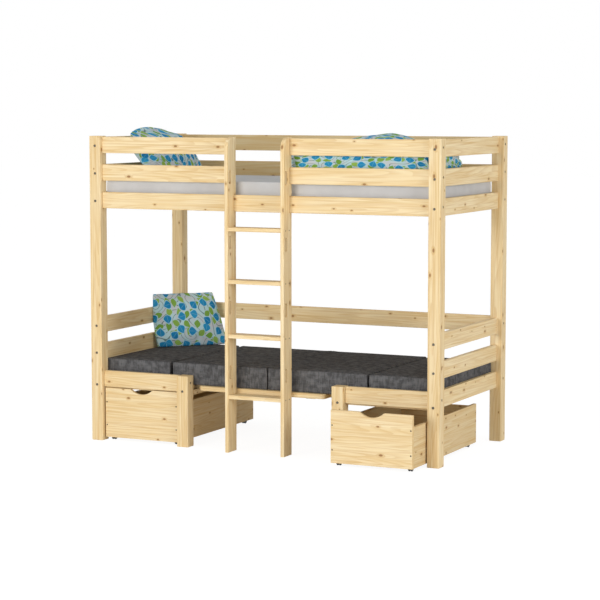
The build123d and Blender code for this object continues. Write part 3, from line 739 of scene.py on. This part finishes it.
def settle(item, matrix, limits, over=None):
    """Place a pillow and press it flat where it meets what it rests on.

    Each limit is an axis, the side of it that is free and its place. A pillow that flops to the left over
    a rail has the rail's top, the rise and the reach of its fold.
    """
    for vertex in item.data.vertices:
        place = matrix @ vertex.co
        for axis, side, limit in limits:
            if side * (place[axis] - limit) < 0:
                place[axis] = limit
        if over:
            rail_height, rise, fold_reach = over
            place.x -= fold_reach * eased((place.z - rail_height) / rise)
        vertex.co = place


def frame_matrix(origin, across, up):
    """Matrix whose X runs across a pillow and whose Y runs up it."""
    across = Vector(across).normalized()
    through = across.cross(Vector(up)).normalized()
    up = through.cross(across)
    turned = Matrix((across, up, through)).transposed().to_4x4()
    return Matrix.Translation(Vector(origin)) @ turned


def finish_soft(item, node, body):
    """Smooth a soft piece and let it stand for its CAD node."""
    smooth = item.modifiers.new("smooth", "SUBSURF")
    smooth.levels = 1
    smooth.render_levels = 1
    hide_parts(node)
    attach(item, body)


RAIL_CLEARANCE = 0.0004
SEAT_SINK = 0.0012

# Printed pillow in the rear left corner of the lower bunk
turn = math.radians(48)
lean = math.radians(7)
low, high = [Vector(corner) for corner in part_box("pillow_lower")]
centre = (low + high) / 2
rail_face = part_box("lower_end_rails_left")[1][0] + RAIL_CLEARANCE
seat_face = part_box("cushion_seat_left")[1][2] - SEAT_SINK
lower_pillow = inflated(
    "pillow_lower_cover",
    sizes=(0.475, 0.325, 0.135),
    columns=46,
    rows=34,
    seed=2.3,
    corners=(0.0, 0.0),
    bow=0.05,
    sway=0.13,
    taper=0.13,
    material=PRINT,
)
settle(
    lower_pillow,
    frame_matrix(
        centre - Vector((0, 0.01, 0)),
        (math.cos(turn), math.sin(turn), 0),
        (-math.sin(lean) * math.sin(turn), math.sin(lean) * math.cos(turn), math.cos(lean)),
    ),
    [(2, 1, seat_face), (0, 1, rail_face)],
)
finish_soft(lower_pillow, "pillow_lower", "bed_frame")

# Printed pillow that leans on the left end rails of the upper bunk
lean = math.radians(38)
low, high = [Vector(corner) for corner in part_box("pillow_upper")]
centre = (low + high) / 2
rail_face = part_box("upper_end_rails_left")[1][0] + RAIL_CLEARANCE
rail_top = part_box("upper_end_rails_left")[1][2]
mattress_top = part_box("mattress_upper")[1][2]
upper_pillow = inflated(
    "pillow_upper_cover",
    sizes=(0.645, 0.39, 0.135),
    columns=52,
    rows=32,
    seed=5.9,
    corners=(0.0, 0.3),
    bow=0.09,
    sway=0.0,
    taper=0.0,
    material=PRINT,
)
settle(
    upper_pillow,
    frame_matrix(
        centre + Vector((-0.002, 0.019, -0.01)),
        (0, 1, 0.05),
        (-math.sin(lean), 0, math.cos(lean)),
    ),
    [(2, 1, mattress_top), (0, 1, rail_face)],
    over=(rail_top, 0.02, 0.03),
)
finish_soft(upper_pillow, "pillow_upper", "bed_frame")

# Quilt folded in three layers at the right end of the upper bunk
QUILT_STATIONS = (0.0, 0.06, 0.3, 0.6, 0.8, 0.96, 1.0)
QUILT_HEIGHTS = (0.6, 0.77, 0.83, 0.96, 0.84, 0.74, 0.56)
QUILT_LAYERS = 3
QUILT_EDGE = 0.028
QUILT_STEP = 0.014
QUILT_DOME = 0.30
QUILT_DOME_POWER = 2.2
QUILT_CREASES = (6, 6, 20)
QUILT_MARK = (4.4, 7.1)
WALL_SHARE = 0.999
ROLL_DEPTH = 0.016
SIDE_ZONE = 0.1
SIDE_CREASE = 0.012
END_ZONE = 0.06
END_CREASE = 0.010
TOP_FOLD = 0.009
TOP_SINK = 0.006


def along_quilt(share):
    """Height of the folded quilt's ridge at a share of its length, as a share of its full height."""
    for n in range(1, len(QUILT_STATIONS)):
        if share <= QUILT_STATIONS[n]:
            break
    run = (share - QUILT_STATIONS[n - 1]) / (QUILT_STATIONS[n] - QUILT_STATIONS[n - 1])
    return QUILT_HEIGHTS[n - 1] + (QUILT_HEIGHTS[n] - QUILT_HEIGHTS[n - 1]) * eased(run)


def folded_quilt():
    """Soft stack whose sides show the rolled edges of its layers, under a wrinkled domed top."""
    low, high = [Vector(corner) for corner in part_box("quilt_upper")]
    size = high - low
    item, shares = rounded_box("quilt_cover", low, high, QUILT_EDGE, QUILT_STEP, PRINT)
    layer = item.data.uv_layers.new(name="cut")
    marks = []
    for vertex, (a, b, c) in zip(item.data.vertices, shares):
        place = vertex.co
        drop = (1 - c) / 2 * size.z
        across = math.copysign(drop, b) if abs(b) > WALL_SHARE else 0.0
        onward = math.copysign(drop, a) if abs(a) > WALL_SHARE else 0.0
        marks.append((a * size.x / 2 + onward + QUILT_MARK[0], b * size.y / 2 + across + QUILT_MARK[1]))
        ridge = along_quilt((a + 1) / 2)
        dome = 1 - QUILT_DOME * abs(b) ** QUILT_DOME_POWER
        rise = (place.z - low.z) / size.z
        place.z = low.z + rise * size.z * ridge * dome
        roll = 1 - abs(math.sin(math.pi * QUILT_LAYERS * (c + 1) / 2)) ** 0.5
        crease = scaled_noise(place, QUILT_CREASES)
        for n, share, zone, crease_depth in ((1, b, SIDE_ZONE, SIDE_CREASE), (0, a, END_ZONE, END_CREASE)):
            if abs(share) > 1 - zone:
                depth = ROLL_DEPTH * roll + crease_depth * (0.5 + crease)
                place[n] -= math.copysign(depth * (abs(share) - (1 - zone)) / zone, share)
        fold = noise.noise(Vector((place.x * 5, place.y * 11, 2.0)))
        fold += 0.5 * noise.noise(Vector((place.x * 14, place.y * 17, 5.0)))
        if c > 0:
            place.z += c * (TOP_FOLD * fold - TOP_SINK)
    for loop in item.data.loops:
        layer.data[loop.index].uv = marks[loop.vertex_index]
    swell(item, frames=14, pressure=3, cap=0.008)
    for vertex in item.data.vertices:
        clamp(vertex.co, low, high)
    return item


finish_soft(folded_quilt(), "quilt_upper", "bed_frame")

# Floor that looks white to the camera and still takes shadows
FLOOR_REACH = 40.0
FLOOR_GLOW = 1.13
FLOOR_GLOW_SHARE = 0.82

floor_shader = Shader("floor")
floor_shader.look(colour(0.93, 0.93, 0.925), roughness=0.9, specular=0.1)
seen = floor_shader.in_view()
white = floor_shader.add("Emission", {"Color": colour(1, 1, 1), "Strength": FLOOR_GLOW})
glow_share = floor_shader.math("MULTIPLY", seen, FLOOR_GLOW_SHARE)
inputs = {0: glow_share, 1: floor_shader.surface.outputs[0], 2: white.outputs[0]}
blend = floor_shader.add("MixShader", inputs)
output = floor_shader.tree.nodes["Material Output"]
floor_shader.put(output.inputs["Surface"], blend.outputs[0])
floor = mesh_object(
    "floor",
    [(x * FLOOR_REACH, y * FLOOR_REACH, 0) for x, y in ((-1, -1), (1, -1), (1, 1), (-1, 1))],
    [[0, 1, 2, 3]],
    floor_shader.material,
    smooth=False,
)

# Sky that looks white to the camera and lights the bed more softly
HORIZON_LEVEL = 0.45
ZENITH_LEVEL = 0.42


class Sky(Shader):
    """The world's node tree with the same short calls."""

    def __init__(self, world):
        world.use_nodes = True
        self.tree = world.node_tree
        self.surface = self.tree.nodes["Background"]


world = bpy.data.worlds.new("studio")
bpy.context.scene.world = world
sky = Sky(world)
seen = sky.in_view()
height = sky.add("SeparateXYZ", {"Vector": sky.add("TexCoord").outputs["Generated"]}).outputs[2]
level = sky.add("MapRange", {"Value": height, "To Min": HORIZON_LEVEL, "To Max": ZENITH_LEVEL}).outputs[0]
unseen = sky.math("SUBTRACT", 1.0, level)
sky.put(sky.surface.inputs["Strength"], sky.math("MULTIPLY_ADD", seen, unseen, level))
sky.surface.inputs["Color"].default_value = colour(1, 1, 1)


def lamp(name, place, target, size, power):
    """Soft square lamp that points at a target."""
    data = bpy.data.lights.new(name, "AREA")
    data.shape = "SQUARE"
    data.size = size
    data.energy = power
    item = bpy.data.objects.new(name, data)
    item.location = place
    item.rotation_mode = "QUATERNION"
    item.rotation_quaternion = (Vector(target) - Vector(place)).to_track_quat("-Z", "Y")
    bpy.context.collection.objects.link(item)


lamp("key", (-1.6, -8.5, 2.3), (0, 0, 0.9), size=2.4, power=312)
lamp("top", (0, 0.1, 6.2), (0, 0.1, 0), size=3.0, power=36)
lamp("side", (8.0, -3.0, 2.2), (0, 0, 0.9), size=3.0, power=215)
